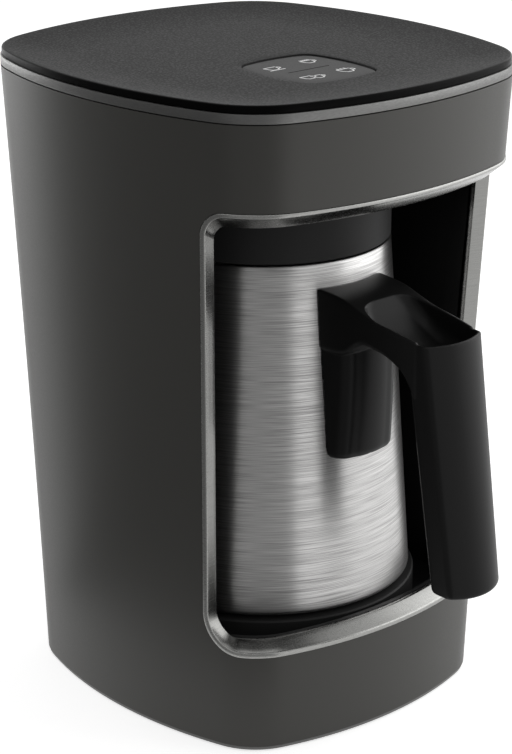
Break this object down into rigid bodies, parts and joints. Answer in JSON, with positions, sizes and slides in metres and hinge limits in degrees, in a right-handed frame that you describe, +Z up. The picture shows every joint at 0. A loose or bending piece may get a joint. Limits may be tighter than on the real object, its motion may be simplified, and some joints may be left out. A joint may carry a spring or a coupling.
{
  "type": "electric turkish coffee maker",
  "caption": "Electric maker for small foamed coffees: flared housing with an open heated bay, a conical steel pot with a channelled handle, and a rocking control cap on top.",
  "frame": {"origin": "middle of the footprint's bounding box, handle included, on the surface it stands on", "axes": "+Z up; the bay and the handle face -Y; +X is to the right for someone who looks at the front along +Y"},
  "size_m": [0.1778, 0.2295, 0.27],
  "materials": {
    "shell": "warm anthracite satin paint over moulded plastic",
    "panel": "fine leather-like grain, glossy edge",
    "ring": "satin",
    "trim": "brushed satin with a polished bevel",
    "strip": "pale grey",
    "base": "fine spark grain",
    "foot_rubber": "matt",
    "bay_plastic": "black, low gloss",
    "dark_grey_plastic": "satin dark grey",
    "cap_plastic": "satin dark grey",
    "pot_steel": "brushed round the pot",
    "base_disc_steel": "turned",
    "handle_plastic": "black satin",
    "plate_metal": "turned",
    "element_sheath": "annealed sheath",
    "cutout_ceramic": "glazed ceramic and tinned tabs",
    "fastener_steel": "zinc plated",
    "spring_steel": "bright wire",
    "lens_glass": "dark red filter",
    "circuit_board": "green solder mask",
    "black_component": "moulded",
    "lamp_white": "diffuse white",
    "relay_blue": "moulded",
    "transformer_tape": "yellow tape over ferrite",
    "terminal_green": "moulded",
    "lead_brown": "PVC",
    "lead_white": "silicone glass sleeve",
    "ribbon_grey": "PVC"
  },
  "bodies": {
    "housing": {"base_plate": "base", "foot_strip": "strip", "rubber_feet": "foot_rubber", "base_screws": "fastener_steel", "body_shell": "shell", "window_frame": "trim", "bay_liner": "bay_plastic", "pedestal": "dark_grey_plastic", "heating_plate": "plate_metal", "heating_element": "element_sheath", "thermal_cutouts": "cutout_ceramic", "sensor_guide": "plate_metal", "sensor_spring": "spring_steel", "head_skirt": "dark_grey_plastic", "foam_sensor_lens": "lens_glass", "foam_sensor_board": "circuit_board", "skirt_screws": "fastener_steel", "top_frame": "base", "satin_ring": "ring", "top_panel": "panel", "panel_screws": "fastener_steel", "control_board": "circuit_board", "key_switches": "black_component", "indicator_lamps": "lamp_white", "buzzer": "black_component", "power_board": "circuit_board", "board_screws": "fastener_steel", "relay": "relay_blue", "transformer": "transformer_tape", "capacitors": "black_component", "terminal_block": "terminal_green", "cord_gland": "foot_rubber", "gland_clamp": "base", "mains_leads": "lead_brown", "heater_leads": "lead_white", "ribbon_cable": "ribbon_grey"},
    "pot": {"pot_body": "pot_steel", "pot_base_disc": "base_disc_steel", "handle_bracket": "fastener_steel", "handle": "handle_plastic", "handle_screw": "fastener_steel"},
    "cap_pivot": {"pivot_ball": "fastener_steel"},
    "cap": {"control_cap": "cap_plastic"},
    "sensor": {"sensor_button": "plate_metal"}
  },
  "joints": [
    {"name": "pot_slide", "type": "slide", "parent": "housing", "child": "pot", "axis": [0, -1, 0], "range_m": [0, 0.17]},
    {"name": "cap_roll", "type": "hinge", "parent": "housing", "child": "cap_pivot", "pos_m": [0, -0.0115, 0.262], "axis": [0, 1, 0], "range_deg": [-1.2, 1.2], "stiffness_Nm_per_rad": 2},
    {"name": "cap_pitch", "type": "hinge", "parent": "cap_pivot", "child": "cap", "pos_m": [0, -0.0115, 0.262], "axis": [1, 0, 0], "range_deg": [-1.2, 1.2], "stiffness_Nm_per_rad": 2},
    {"name": "sensor_press", "type": "slide", "parent": "housing", "child": "sensor", "axis": [0, 0, 1], "range_m": [-0.0015, 0], "stiffness_N_per_m": 400, "springref_m": 0.002, "deforming": ["sensor_spring"]}
  ]
}
